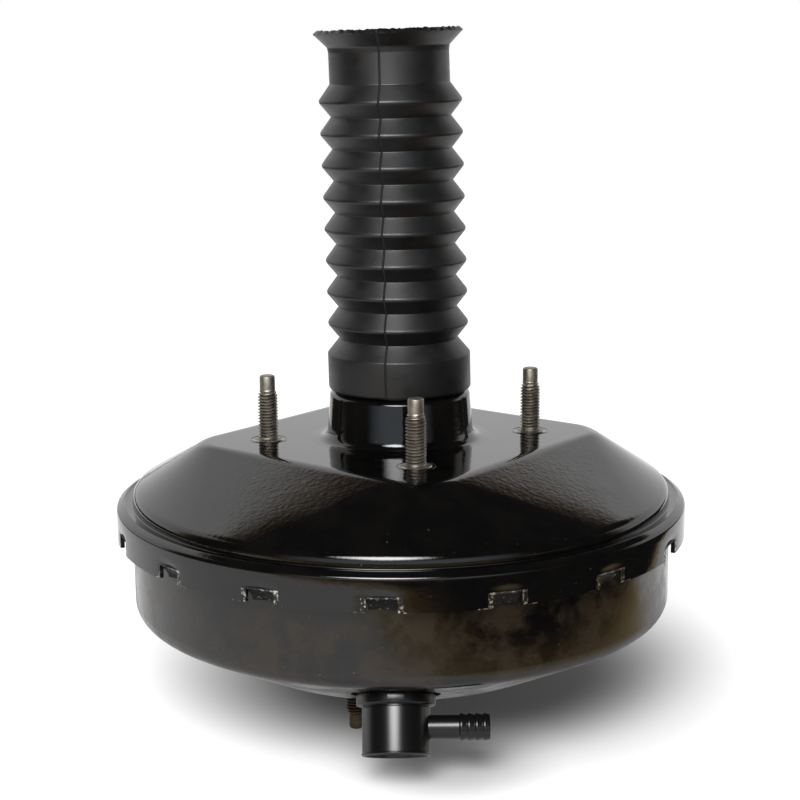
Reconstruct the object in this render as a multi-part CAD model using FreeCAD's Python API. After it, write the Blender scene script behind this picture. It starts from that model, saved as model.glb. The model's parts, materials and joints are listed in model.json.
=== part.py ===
import FreeCAD, Part
import math
import os

# Vacuum brake booster with one diaphragm, in millimetres.
# The origin is the centre of the rear mounting face, on the booster's axis.
# +Z points out of the rear face, to the pedal, and -Z to the master cylinder.

V = FreeCAD.Vector
AXIS = V(0, 0, 1)
CENTRE = V(0, 0, 0)

# Clearances
running_clearance = 0.05
press_clearance = 0.05
loose_clearance = 0.3
seat_gap = 0.1
cut_past = 1.0

# Sheet metal
wall = 1.6
plate_wall = 2.5
drum_r = 108.0
rim_step = 6.1
ring_r = drum_r + rim_step
rim_z = -37.1
drum_bend = 7.0

# Studs, M8, each pressed in by a knurled shank
stud_r = 4.0
stud_shank_r = 4.5
stud_hole_r = stud_shank_r + press_clearance
stud_head_r = 6.8
stud_head_tall = 3.0
stud_tip_bevel = 0.7
dog_tall = 5.5
stud_square = 75.0
stud_ring_r = stud_square / math.sqrt(2)
rear_stud_tall = 26.1
rear_dog_r = 3.0
front_stud_span = 80.0
front_stud_angle = -117.3
front_stud_tall = 20.9
front_dog_r = 2.75

# Valve body and what it carries, from the rod's ball outwards
ball_r = 5.0
ball_z = 5.0
plunger_collar_r = ball_r + 3.0
plunger_head_r = plunger_collar_r + 1.6
plunger_r = ball_r + 1.0
plunger_waist_r = plunger_r - 2.0
plunger_travel = 2.0
air_gap = 2.6
valve_seat_wall = 1.0
valve_seat_r = plunger_head_r + air_gap + valve_seat_wall
valve_seat_z = 0.2
vacuum_gap = 3.0
sleeve_bore_r = valve_seat_r + vacuum_gap
sleeve_wall = 2.8
sleeve_r = sleeve_bore_r + sleeve_wall
sleeve_end_z = 58.0
chamber_floor_z = -4.0
hub_r = sleeve_r + 6.0
hub_top_z = -6.0
hub_bevel = 1.0
seat_flange_r = hub_r + 9.0
seat_flange_z = -11.5
seat_flange_wall = 4.5
nose_r = hub_r - 3.0
nose_end_z = -31.0
port_r = 1.9
port_ring_r = sleeve_r - 1.6
key_low_z = -10.8
key_wall = 2.6
key_half_wide = 7.5
reaction_r = 12.0
reaction_wall = 4.0
output_head_wall = 5.0
reaction_low_z = nose_end_z + output_head_wall
reaction_top_z = reaction_low_z + reaction_wall

# Rear shell: square plateau, slopes down to a round base, neck for the valve body
square_turn = 6.3
plateau_margin = 22.5
plateau_half = stud_square / 2 + plateau_margin
plateau_corner = 14.0
plateau_edge_bend = 12.0
base_step = 1.7
base_r = drum_r - base_step
base_z = -20.0
slope_foot_step = 1.5
slope_foot_r = base_r - slope_foot_step
slope_foot_z = -15.5
slope_foot_bend = 5.0
slope_end_r = base_r - 0.2
slope_end_z = base_z - 0.8
crown_z = -24.2
bush_wall = 4.9
neck_top_r = sleeve_r + running_clearance + bush_wall + press_clearance + wall
neck_bore_r = neck_top_r - wall
neck_mouth_r = sleeve_r + 1.0
neck_top_z = 33.0
neck_roof_z = neck_top_z - wall
neck_step_z = neck_top_z - 12.6
neck_r = neck_top_r + 3.7
neck_flange_r = neck_r + 6.7
bush_low_z = neck_step_z + 1.6
seal_low_z = neck_step_z - 10.8
seal_lip_wall = 1.2
seal_lip_tall = 2.4
seal_groove_tall = 1.6
retainer_wall = 1.0
retainer_lip_tall = 4.0
retainer_room = 0.6

# Locking tabs pressed out of the skirt
tab_count = 16
tab_first_angle = -93.5
tab_wide = 11.3
tab_top_z = -31.4
tab_lean = 3.6
tab_crease = 1.0

# Front shell: drum, cone and face for the master cylinder
cone_angle = 26.9
cone_slope = math.tan(math.radians(cone_angle))
master_bore_r = 21.0
front_face_z = -89.5
front_face_r = front_stud_span / 2 + 18.0
stud_plate_margin = 2.0
cone_end_r = front_face_r + 11.0
cone_end_z = front_face_z + 2.9
cone_end_bend = 8.0
flange_z = tab_top_z - 0.2

# Diaphragm, its bead between the shells, and its plate
diaphragm_wall = 1.5
diaphragm_plate_wall = 1.2
diaphragm_top_z = seat_flange_z + diaphragm_plate_wall + seat_gap + diaphragm_wall
clip_wall = 1.2
plate_rim_r = drum_r - 18.0
plate_flat_r = plate_rim_r - 32.0
plate_drop = 12.3
plate_lip_tall = 4.5
fold_inner_r = drum_r - 12.0
fold_outer_r = drum_r - wall - 3.0
fold_low_z = tab_top_z - 4.6
bead_tall = 3.9
bead_inner_r = drum_r - wall - 3.3
bead_outer_r = ring_r - wall - 1.2

# Poppet, and input rod with an M10 end
poppet_face_z = 0.8
poppet_bead_z = 14.0
poppet_end_z = 17.0
poppet_wall = 2.2
poppet_top_z = poppet_face_z + 2.4
poppet_mouth_r = plunger_collar_r + 0.4
poppet_skirt_r = sleeve_bore_r - 1.4
poppet_lip_r = sleeve_bore_r - seat_gap
retainer_mouth_r = poppet_mouth_r + 2.2
retainer_step_z = poppet_end_z + 1.2
retainer_end_z = poppet_end_z + 3.0
input_neck_r = 3.0
input_neck_z = 13.0
input_rod_r = 5.0
input_rod_end_z = 150.0
input_collar_wall = 1.6
filter_bore_r = sleeve_bore_r - 5.2
filter_long = 12.0
filter_cap_wall = 2.4
thread_groove_r = 4.1
thread_groove_long = 2.0
lock_nut_flats = 17.0
lock_nut_tall = 6.0
lock_nut_z = 112.0
thread_groove_z = lock_nut_z + lock_nut_tall + 1.0
spring_cup_z = 32.0
spring_cup_r = retainer_mouth_r + 2.4
spring_cup_wall = 1.5

# Springs: radius of the coil's middle and of its wire
return_coil_r = seat_flange_r - 3.0
return_wire_r = 1.6
return_turns = 4.5
poppet_coil_r = poppet_mouth_r + 2.4
poppet_wire_r = 0.5
rod_coil_r = retainer_mouth_r + 1.2
rod_wire_r = 0.7
disc_coil_r = 4.9
disc_wire_r = 0.45
coil_gap = 0.05

# Output rod and its adjusting screw, which ends short of the master cylinder
output_rod_r = 6.0
output_rod_low_z = front_face_z + 23.5
output_bore_r = 3.0
output_bore_deep = 10.0
screw_flats = 10.0
screw_head_tall = 5.0
screw_nose_r = 4.4
screw_nose_tall = 7.2
screw_nose_bevel = 2.0

# Rubber boot over the rear of the valve body
boot_wall = 1.9
boot_collar_r = neck_top_r + 2.8
boot_collar_low_z = neck_top_z - 14.5
boot_shoulder_z = neck_top_z + 1.0
boot_split_z = neck_top_z + 3.0
boot_room = 2.7
boot_valley_r = sleeve_r + boot_room + boot_wall
boot_ridge_r = boot_valley_r + 4.4
boot_first_valley_z = neck_top_z + 7.4
boot_pitch = 12.42
boot_folds = 8
boot_cuff_r = 23.4
boot_cuff_long = 13.5
boot_lip_flare = 5.4
boot_lip_tall = 6.1
boot_cuff_z = boot_first_valley_z + boot_pitch * boot_folds + 0.24
boot_top_z = boot_cuff_z - 1.0
boot_lip_z = boot_cuff_z + boot_cuff_long
boot_lip_r = boot_cuff_r + boot_lip_flare
boot_end_z = boot_lip_z + boot_lip_tall

# Check valve, on an axis square to the cone
valve_x = -2.4
valve_inset = 22.0
valve_reach = drum_r - valve_inset
pad_depth = 1.8
pad_hole_r = 10.0
snout_r = 6.6
snout_bore_r = 4.2
snout_long = 13.5
snout_catch = 0.7
snout_catch_long = 3.2
grommet_lip_wall = 1.1
grommet_lip_r = pad_hole_r + 3.0
grommet_hook_r = pad_hole_r + 2.0
grommet_end_r = pad_hole_r + 1.2
grommet_hook_long = 3.4
valve_cup_r = 12.4
valve_cup_end = 21.7
valve_cup_wall = 2.2
valve_cup_bevel = 0.7
valve_flange_r = valve_cup_r + 2.1
valve_flange_low = -0.5
valve_flange_tall = 4.5
valve_flange_bevel = 0.3
pad_r = valve_flange_r + 2.0
barb_height = 11.4
barb_r = 4.4
barb_crest_r = 4.95
barb_bore_r = 2.9
barb_start = 22.8
barb_end = 34.1
barb_count = 4
disc_r = snout_bore_r + 3.3
disc_wall = 2.0
disc_stem_r = 1.5
disc_stem_long = 10.0
guide_r = 4.0
guide_long = 6.0


def line(a, b):
    return Part.LineSegment(a, b).toShape()


# Path of (radius, height, bend) points with each corner rounded by its bend.
def rounded_edges(path):
    points = [V(r, 0, z) for r, z, bend in path]
    edges = []
    start = points[0]
    for i in range(1, len(path) - 1):
        bend = path[i][2]
        into = (points[i] - points[i - 1]).normalize()
        out = (points[i + 1] - points[i]).normalize()
        turn = into.getAngle(out)
        if bend <= 0 or turn < 0.01:
            edges.append(line(start, points[i]))
            start = points[i]
            continue
        reach = bend * math.tan(turn / 2)
        arc_start = points[i] - into * reach
        arc_end = points[i] + out * reach
        inward = (out - into).normalize()
        middle = points[i] + inward * (bend / math.cos(turn / 2) - bend)
        if start.distanceToPoint(arc_start) > 1e-6:
            edges.append(line(start, arc_start))
        edges.append(Part.Arc(arc_start, middle, arc_end).toShape())
        start = arc_end
    edges.append(line(start, points[-1]))
    return edges


# The same path moved to its right-hand side by a sheet's wall.
def offset_path(path, thickness):
    moved = []
    last = len(path) - 1
    for i, (r, z, bend) in enumerate(path):
        here = V(r, 0, z)
        into = None
        out = None
        if i > 0:
            into = (here - V(path[i - 1][0], 0, path[i - 1][1])).normalize()
        if i < last:
            out = (V(path[i + 1][0], 0, path[i + 1][1]) - here).normalize()
        into = into or out
        out = out or into
        side = V(into.z + out.z, 0, -into.x - out.x).normalize()
        across = V(into.z, 0, -into.x)
        spot = here + side * (thickness / side.dot(across))
        turns_right = into.x * out.z - into.z * out.x < 0
        new_bend = 0
        if bend > 0:
            new_bend = max(bend - thickness, 0) if turns_right else bend + thickness
        moved.append((spot.x, spot.z, new_bend))
    return moved


def revolve(edges):
    wire = Part.Wire(Part.__sortEdges__(edges))
    return Part.Face(wire).revolve(CENTRE, AXIS, 360)


# How far a corner's bend stands back from its sharp point.
def bend_depth(path, i):
    if path[i][2] <= 0:
        return 0
    here = V(path[i][0], 0, path[i][1])
    into = here - V(path[i - 1][0], 0, path[i - 1][1])
    out = V(path[i + 1][0], 0, path[i + 1][1]) - here
    return path[i][2] * (1 / math.cos(into.getAngle(out) / 2) - 1)


# Pressed or moulded sheet: a skin path and the same path one wall beside it.
# The far side has a bend only where a sharp corner there would thin the wall, as each bend costs many faces.
def sheet(path, thickness):
    inner = []
    for i, (r, z, bend) in enumerate(offset_path(path, thickness)):
        inner.append((r, z, bend if bend_depth(path, i) > abs(thickness) / 4 else 0))
    edges = rounded_edges(path) + rounded_edges(inner)
    for i in (0, -1):
        edges.append(line(V(path[i][0], 0, path[i][1]), V(inner[i][0], 0, inner[i][1])))
    return revolve(edges)


# Turned solid: a closed outline of (radius, height) or (radius, height, bend) corners.
def turned(outline):
    corners = [tuple(c) + (0,) * (3 - len(c)) for c in outline]
    first = corners[0]
    last = corners[-1]
    start = ((first[0] + last[0]) / 2, (first[1] + last[1]) / 2, 0)
    return revolve(rounded_edges([start] + corners + [start]))


def disc(radius, low, high, at=CENTRE):
    return Part.makeCylinder(radius, high - low, at + V(0, 0, low))


def ring(outer, inner, low, high):
    return disc(outer, low, high).cut(disc(inner, low - cut_past, high + cut_past))


def box(low, high):
    return Part.makeBox(high[0] - low[0], high[1] - low[1], high[2] - low[2], V(*low))


def polar(radius, degrees, z=0.0):
    angle = math.radians(degrees)
    return V(radius * math.cos(angle), radius * math.sin(angle), z)


def turn_about_axis(shape, degrees):
    copy = shape.copy()
    copy.rotate(CENTRE, AXIS, degrees)
    return copy


def fuse_all(shapes):
    return shapes[0].multiFuse(shapes[1:]).removeSplitter()


# Coil spring with its wire's centre from low to high, as short straight lengths of six-sided wire.
def coil(mean_r, wire_r, low, high, turns, steps_in_turn=16):
    steps = int(turns * steps_in_turn)
    sections = []
    for i in range(steps + 1):
        middle = V(mean_r, 0, low + (high - low) * i / steps)
        corners = [middle + V(wire_r * math.cos(k * math.pi / 3), 0, wire_r * math.sin(k * math.pi / 3))
                   for k in range(7)]
        sections.append(turn_about_axis(Part.makePolygon(corners), 360 * i / steps_in_turn))
    return Part.makeLoft(sections, True, True)


stud_angles = [square_turn + 90 * i for i in range(4)]
front_stud_angles = [front_stud_angle, front_stud_angle + 180]


# Height of the cone's outer skin at a radius.
def cone_z(radius):
    return cone_end_z + (radius - cone_end_r) * cone_slope


# Eight-edged outline of the plateau: four sides and four round corners.
def square_wire(half, corner, z):
    straight = half - corner
    edges = []
    for i in range(4):
        turn = square_turn - 45 + 90 * i
        side_start = V(half, -straight, z)
        side_end = V(half, straight, z)
        arc_mid = V(straight, straight, z) + polar(corner, 45)
        arc_end = V(straight, half, z)
        edges.append(turn_about_axis(line(side_start, side_end), turn))
        edges.append(turn_about_axis(Part.Arc(side_end, arc_mid, arc_end).toShape(), turn))
    return Part.Wire(edges)


# The slope's round foot, cut into arcs that match the plateau's edges.
def foot_wire(radius, z, flat_angle=7.0):
    edges = []
    for i in range(4):
        middle = square_turn - 45 + 90 * i
        stops = [middle - flat_angle, middle, middle + flat_angle, middle + 45, middle + 90 - flat_angle]
        side = [polar(radius, a, z) for a in stops]
        edges.append(Part.Arc(side[0], side[1], side[2]).toShape())
        edges.append(Part.Arc(side[2], side[3], side[4]).toShape())
    return Part.Wire(edges)


# Block with a square top, sloping sides and a steep round foot; a skin of the rear shell.
def domed_block(half, corner, top_z, foot_r, foot_z, end_r, end_z):
    slopes = Part.makeLoft([square_wire(half, corner, top_z), foot_wire(foot_r, foot_z)], True, True)
    foot = turned([(0, foot_z), (foot_r, foot_z), (end_r, end_z), (0, end_z)])
    return slopes.fuse(foot).removeSplitter()


def edges_at(shape, z):
    return [e for e in shape.Edges if max(abs(v.Z - z) for v in e.Vertexes) < 1e-4]


# One locking tab, pressed in from the skirt, with a crease down its middle.
def locking_tab():
    skin = ring_r
    back = ring_r - wall
    low = rim_z + 0.4

    def section(across, push):
        corners = [(skin, tab_top_z), (skin - 0.5, tab_top_z - 1.4), (skin - tab_lean - push, low),
                   (back - tab_lean - push, low + 0.9), (back - 0.4, tab_top_z - 1.0), (back, tab_top_z)]
        points = [V(r, across, z) for r, z in corners]
        return Part.makePolygon(points + [points[0]])

    half_wide = tab_wide / 2 - 0.2
    left = Part.makeLoft([section(-half_wide, 0), section(0, tab_crease)], True, True)
    right = Part.makeLoft([section(0, tab_crease), section(half_wide, 0)], True, True)
    return left.fuse(right)


# The dome's inner skin keeps its distance from the outer one down the slope of a corner.
def rear_dome():
    outer = domed_block(plateau_half, plateau_corner, 0, slope_foot_r, slope_foot_z, slope_end_r, slope_end_z)
    outer = outer.makeFillet(slope_foot_bend, edges_at(outer, slope_foot_z))
    outer = outer.makeFillet(plateau_edge_bend, edges_at(outer, 0))
    corner_reach = (plateau_half - plateau_corner) * math.sqrt(2) + plateau_corner
    slope = math.atan2(-slope_foot_z, slope_foot_r - corner_reach)
    inset = wall * math.tan(slope / 2)
    inner = domed_block(plateau_half - inset, plateau_corner - inset, -wall,
                        slope_foot_r - wall * math.cos(slope), slope_foot_z - wall * math.tan(slope),
                        slope_end_r - wall, base_z - 2 * wall)
    return outer.cut(inner).cut(disc(neck_flange_r, -2 * wall, wall))


def rear_shell():
    crown = sheet([(base_r - 2.4, base_z, 0), (base_r + 1.0, base_z, 1.0), (base_r + 1.7, base_z - 1.8, 0.8),
                   (base_r + 3.3, crown_z + 1.3, 1.5), (ring_r - 1.6, crown_z, 2.2),
                   (ring_r, crown_z - 2.8, 2.4), (ring_r, rim_z, 0)], wall)
    neck = sheet([(neck_mouth_r, neck_top_z, 0), (neck_top_r, neck_top_z, 2.4),
                  (neck_top_r, neck_step_z, 2.0), (neck_top_r + 0.9, neck_step_z - 2.8, 2.5),
                  (neck_top_r + 1.3, neck_step_z - 6.0, 2.5), (neck_top_r + 3.1, neck_step_z - 8.4, 3.0),
                  (neck_r, 0, 3.6), (neck_flange_r, 0, 0)], wall)
    shell = fuse_all([rear_dome(), crown, neck])
    notch = box((ring_r - wall - 1.2, -tab_wide / 2, rim_z - cut_past),
                (ring_r + cut_past, tab_wide / 2, tab_top_z))
    notches = []
    tabs = []
    for i in range(tab_count):
        angle = tab_first_angle + 360 / tab_count * i
        notches.append(turn_about_axis(notch, angle))
        tabs.append(turn_about_axis(locking_tab(), angle))
    shell = fuse_all([shell.cut(Part.makeCompound(notches))] + tabs)
    holes = [disc(stud_hole_r, -2 * wall, wall, polar(stud_ring_r, a)) for a in stud_angles]
    return shell.cut(Part.makeCompound(holes))


# Places a solid that is drawn along +Z with its foot on the cone, at the check valve.
def at_valve(shape):
    copy = shape.copy()
    spot = V(valve_x, -valve_reach, cone_z(valve_reach))
    copy.Placement = FreeCAD.Placement(spot, FreeCAD.Rotation(V(1, 0, 0), 180 - cone_angle))
    return copy


def front_shell():
    shell = sheet([(ring_r - wall - 0.4, flange_z, 0), (drum_r, flange_z, 0),
                   (drum_r, cone_z(drum_r), drum_bend), (cone_end_r, cone_end_z, cone_end_bend),
                   (front_face_r, front_face_z, 0), (master_bore_r, front_face_z, 0)], wall)
    pad_back = at_valve(disc(pad_r + wall, -pad_depth - wall, -wall / 2))
    hollow = at_valve(disc(pad_r, -pad_depth, 8 * wall))
    hole = at_valve(disc(pad_hole_r, -2 * wall - pad_depth, 2 * wall))
    shell = shell.fuse(pad_back).cut(hollow).cut(hole).removeSplitter()
    holes = [disc(stud_hole_r, front_face_z - wall, front_face_z + 2 * wall, polar(front_stud_span / 2, a))
             for a in front_stud_angles]
    return shell.cut(Part.makeCompound(holes))


# Stud that stands on z = 0 and points up: head and shank below, thread and dog point above.
def stud(tall, dog_r):
    grip = wall + plate_wall
    dog_low = tall - dog_tall
    return turned([(0, -grip - stud_head_tall), (stud_head_r, -grip - stud_head_tall), (stud_head_r, -grip),
                   (stud_shank_r, -grip), (stud_shank_r, 0), (stud_r, 0), (stud_r, dog_low - stud_tip_bevel),
                   (dog_r, dog_low), (dog_r, tall - stud_tip_bevel), (dog_r - stud_tip_bevel, tall),
                   (0, tall)])


def rear_studs():
    one = stud(rear_stud_tall, rear_dog_r)
    studs = []
    for angle in stud_angles:
        copy = one.copy()
        copy.translate(polar(stud_ring_r, angle))
        studs.append(copy)
    return Part.makeCompound(studs)


def front_studs():
    one = stud(front_stud_tall, front_dog_r)
    one.rotate(CENTRE, V(1, 0, 0), 180)
    studs = []
    for angle in front_stud_angles:
        copy = one.copy()
        copy.translate(polar(front_stud_span / 2, angle, front_face_z))
        studs.append(copy)
    return Part.makeCompound(studs)


def rear_stud_plate():
    low = -wall - plate_wall
    high = -wall
    outline = Part.Face(square_wire(stud_ring_r - stud_head_r, plateau_corner, low))
    holes = [disc(stud_hole_r, low - cut_past, high + cut_past, polar(stud_ring_r, a)) for a in stud_angles]
    holes.append(disc(neck_flange_r - 1.2, low - cut_past, high + cut_past))
    return outline.extrude(V(0, 0, plate_wall)).cut(Part.makeCompound(holes))


def front_stud_plate():
    low = front_face_z + wall
    high = low + plate_wall
    plate = ring(front_stud_span / 2 + stud_head_r + stud_plate_margin, master_bore_r, low, high)
    holes = [disc(stud_hole_r, low - cut_past, high + cut_past, polar(front_stud_span / 2, a))
             for a in front_stud_angles]
    return plate.cut(Part.makeCompound(holes))


# Guide bush, seal and retainer that carry the valve body's sleeve in the neck.
def neck_bush():
    outer = neck_bore_r - press_clearance
    inner = sleeve_r + running_clearance
    return turned([(inner, bush_low_z), (outer, bush_low_z), (outer, neck_roof_z - 1.2),
                   (outer - 1.2, neck_roof_z), (inner + 0.6, neck_roof_z), (inner, neck_roof_z - 0.6)])


def neck_seal():
    outer = neck_bore_r - press_clearance
    inner = sleeve_r + running_clearance
    low = seal_low_z
    high = bush_low_z - seat_gap
    groove = low + seal_groove_tall
    return turned([(inner, low), (inner + seal_lip_wall, groove), (outer - seal_groove_tall, groove),
                   (outer, low), (outer, high), (inner + seal_lip_wall, high), (inner, high - seal_lip_tall)])


def neck_seal_retainer():
    skin = neck_r - wall - retainer_room
    top = seal_low_z - seat_gap
    return sheet([(skin, top - retainer_lip_tall, 0), (skin, top, 0), (sleeve_r + retainer_room, top, 0)],
                 -retainer_wall)


def check_valve_grommet():
    top = -pad_depth + grommet_lip_wall
    low = -pad_depth - wall
    bore = snout_r + running_clearance
    neck = pad_hole_r - press_clearance
    end = low - grommet_hook_long
    return at_valve(turned([(bore, top), (grommet_lip_r, top), (grommet_lip_r, -pad_depth),
                            (neck, -pad_depth), (neck, low), (grommet_hook_r, low), (grommet_end_r, end),
                            (bore, end)]))


# The collar grips the neck, and a step inside it sits on the neck's rim.
def boot_collar():
    inner = neck_top_r + seat_gap
    step = neck_top_r - 0.6
    return turned([(inner, boot_collar_low_z + 2.2), (inner + 0.8, boot_collar_low_z),
                   (boot_collar_r - 1.3, boot_collar_low_z), (boot_collar_r, boot_collar_low_z + 1.8),
                   (boot_collar_r, boot_shoulder_z), (boot_collar_r - 1.5, boot_split_z),
                   (step, boot_split_z), (step, neck_top_z + 0.4), (inner, neck_top_z - 0.6)])


def boot_bellows():
    skin = [(boot_cuff_r, boot_lip_z, 0), (boot_cuff_r, boot_cuff_z, 0)]
    for i in reversed(range(boot_folds)):
        valley_z = boot_first_valley_z + boot_pitch * i
        skin.append((boot_ridge_r, valley_z + boot_pitch / 2, 0))
        skin.append((boot_valley_r, valley_z, 0))
    skin.append((boot_collar_r, boot_shoulder_z, 0))
    return sheet(skin, boot_wall).common(disc(2 * boot_ridge_r, boot_split_z, boot_top_z))


def boot_top():
    return sheet([(boot_lip_r, boot_end_z, 0), (boot_cuff_r, boot_lip_z, 0), (boot_cuff_r, boot_top_z, 0)],
                 boot_wall)


def diaphragm_skin():
    return [(hub_r + press_clearance, diaphragm_top_z, 0), (plate_flat_r, diaphragm_top_z, 0),
            (plate_rim_r, diaphragm_top_z - plate_drop, 2.0), (fold_inner_r, fold_low_z, 2.6),
            (fold_outer_r, fold_low_z, 2.6), (fold_outer_r + 1.2, tab_top_z + 2.4, 0)]


def diaphragm():
    membrane = sheet(diaphragm_skin(), diaphragm_wall)
    bead_low = flange_z + wall
    return fuse_all([membrane, ring(bead_outer_r, bead_inner_r, bead_low, bead_low + bead_tall)])


def diaphragm_plate():
    skin = offset_path(diaphragm_skin()[:3], diaphragm_wall + seat_gap)
    slope = plate_drop / (plate_rim_r - plate_flat_r)
    rim_r = plate_rim_r - 2.6
    rim_top_z = skin[2][1] + (skin[2][0] - rim_r) * slope
    return sheet([skin[0], skin[1], (rim_r, rim_top_z, 0), (rim_r + 0.6, rim_top_z - plate_lip_tall, 0)],
                 diaphragm_plate_wall)


def diaphragm_clip():
    return ring(hub_r + 3.0, hub_r + press_clearance, diaphragm_top_z, diaphragm_top_z + clip_wall)


def valve_body():
    flange_low = seat_flange_z - seat_flange_wall
    outer = turned([(0, nose_end_z), (nose_r, nose_end_z), (nose_r, flange_low), (seat_flange_r, flange_low),
                    (seat_flange_r, seat_flange_z), (hub_r, seat_flange_z), (hub_r, hub_top_z - hub_bevel),
                    (hub_r - hub_bevel, hub_top_z), (sleeve_r, hub_top_z), (sleeve_r, sleeve_end_z),
                    (0, sleeve_end_z)])
    chamber = disc(sleeve_bore_r, chamber_floor_z, sleeve_end_z + cut_past)
    seat = ring(valve_seat_r, valve_seat_r - valve_seat_wall, chamber_floor_z - 0.5, valve_seat_z)
    reaction_bore = disc(reaction_r + seat_gap, nose_end_z - cut_past, reaction_top_z)
    plunger_bore = disc(plunger_r + running_clearance, nose_end_z, chamber_floor_z + cut_past)
    key_slot = box((-key_half_wide - 1.1, -key_half_wide - seat_gap, key_low_z - seat_gap),
                   (hub_r + cut_past, key_half_wide + seat_gap, key_low_z + key_wall + seat_gap))
    ports = [disc(port_r, nose_end_z - cut_past, chamber_floor_z + cut_past, polar(port_ring_r, a))
             for a in (90, 135, 225, 270)]
    body = outer.cut(chamber).fuse(seat)
    return body.cut(Part.makeCompound([reaction_bore, plunger_bore, key_slot] + ports)).removeSplitter()


# Forked key that holds the plunger in the valve body.
def stop_key():
    low = key_low_z - cut_past
    high = key_low_z + key_wall + cut_past
    plate = box((-key_half_wide - 0.5, -key_half_wide, key_low_z),
                (hub_r - 2, key_half_wide, key_low_z + key_wall))
    waist = plunger_waist_r + loose_clearance
    fork = box((-key_half_wide - cut_past, -waist, low), (0, waist, high))
    return plate.cut(fork).cut(disc(waist, low, high))


def reaction_disc():
    return disc(reaction_r, reaction_low_z, reaction_top_z)


def output_rod():
    rod = turned([(0, nose_end_z), (0, reaction_low_z), (reaction_r, reaction_low_z),
                  (reaction_r, nose_end_z), (output_rod_r, nose_end_z), (output_rod_r, output_rod_low_z),
                  (0, output_rod_low_z)])
    return rod.cut(disc(output_bore_r, output_rod_low_z - cut_past, output_rod_low_z + output_bore_deep))


def hexagon(flats, low, high):
    corners = [polar(flats / math.sqrt(3), 60 * i, low) for i in range(7)]
    return Part.Face(Part.makePolygon(corners)).extrude(V(0, 0, high - low))


def output_rod_screw():
    head_low = output_rod_low_z - screw_head_tall
    end = head_low - screw_nose_tall
    shank = disc(output_bore_r, output_rod_low_z, output_rod_low_z + output_bore_deep - 0.5)
    head = hexagon(screw_flats, head_low, output_rod_low_z)
    nose = turned([(0, end), (screw_nose_r - screw_nose_bevel, end), (screw_nose_r, end + screw_nose_bevel),
                   (screw_nose_r, head_low), (0, head_low)])
    return fuse_all([shank, head, nose])


def rod_retainer():
    skin = nose_r + press_clearance + retainer_wall
    low = nose_end_z - 1.2
    return sheet([(skin, nose_end_z + 13.0, 0), (skin, low, 0), (output_rod_r + 0.6, low, 0)], retainer_wall)


def return_spring():
    top = seat_flange_z - seat_flange_wall - return_wire_r - coil_gap
    low = front_face_z + wall + plate_wall + return_wire_r + coil_gap
    return coil(return_coil_r, return_wire_r, low, top, return_turns)


def valve_plunger():
    tip_z = reaction_top_z + plunger_travel + loose_clearance
    waist_low = key_low_z - loose_clearance
    waist_high = waist_low + key_wall + plunger_travel + 2 * loose_clearance
    head_low = chamber_floor_z + plunger_travel
    collar_high = ball_z + 3.2
    outline = turned([(0, tip_z), (plunger_r, tip_z), (plunger_r, waist_low), (plunger_waist_r, waist_low),
                      (plunger_waist_r, waist_high), (plunger_r, waist_high), (plunger_r, head_low),
                      (plunger_head_r, head_low), (plunger_head_r, poppet_face_z - loose_clearance),
                      (plunger_collar_r, poppet_face_z - loose_clearance), (plunger_collar_r, collar_high),
                      (0, collar_high)])
    return outline.cut(Part.makeSphere(ball_r + seat_gap, V(0, 0, ball_z)))


def poppet():
    inner = poppet_skirt_r - poppet_wall
    return turned([(poppet_mouth_r, poppet_face_z), (poppet_skirt_r, poppet_face_z),
                   (poppet_skirt_r, poppet_bead_z), (poppet_lip_r, poppet_bead_z),
                   (poppet_lip_r, poppet_end_z), (inner, poppet_end_z), (inner, poppet_top_z),
                   (poppet_mouth_r, poppet_top_z)])


def poppet_retainer():
    step_r = retainer_mouth_r + 2.4
    return turned([(retainer_mouth_r, poppet_end_z), (poppet_lip_r, poppet_end_z),
                   (poppet_lip_r, retainer_end_z), (step_r, retainer_end_z), (step_r, retainer_step_z),
                   (retainer_mouth_r, retainer_step_z)])


def poppet_spring():
    reach = poppet_wire_r + coil_gap
    return coil(poppet_coil_r, poppet_wire_r, poppet_top_z + reach, poppet_end_z - reach, 3)


def rod_spring():
    reach = rod_wire_r + coil_gap
    return coil(rod_coil_r, rod_wire_r, retainer_step_z + reach, spring_cup_z - spring_cup_wall - reach, 3)


def rod_spring_cup():
    return ring(spring_cup_r, input_rod_r + running_clearance, spring_cup_z - spring_cup_wall, spring_cup_z)


def air_filter():
    return ring(sleeve_bore_r - seat_gap, filter_bore_r, sleeve_end_z - filter_long, sleeve_end_z)


def filter_cap():
    low = sleeve_end_z
    high = low + filter_cap_wall
    outer = sleeve_r - 0.4
    return turned([(filter_bore_r, low), (outer, low), (outer, high - 0.8), (outer - 0.8, high),
                   (filter_bore_r, high)])


def input_rod():
    ball = Part.makeSphere(ball_r, V(0, 0, ball_z))
    collar_r = input_rod_r + input_collar_wall
    collar_high = spring_cup_z + input_collar_wall
    groove_high = thread_groove_z + thread_groove_long
    shank = turned([(0, ball_z + 2), (input_neck_r, ball_z + 2), (input_neck_r, input_neck_z),
                    (input_rod_r, input_neck_z + 3.0), (input_rod_r, spring_cup_z), (collar_r, spring_cup_z),
                    (collar_r, collar_high), (input_rod_r, collar_high), (input_rod_r, thread_groove_z),
                    (thread_groove_r, thread_groove_z), (thread_groove_r, groove_high),
                    (input_rod_r, groove_high), (input_rod_r, input_rod_end_z - 1),
                    (input_rod_r - 1, input_rod_end_z), (0, input_rod_end_z)])
    return fuse_all([ball, shank])


def lock_nut():
    high = lock_nut_z + lock_nut_tall
    nut = hexagon(lock_nut_flats, lock_nut_z, high)
    return nut.cut(disc(input_rod_r + 0.02, lock_nut_z - cut_past, high + cut_past))


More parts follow.
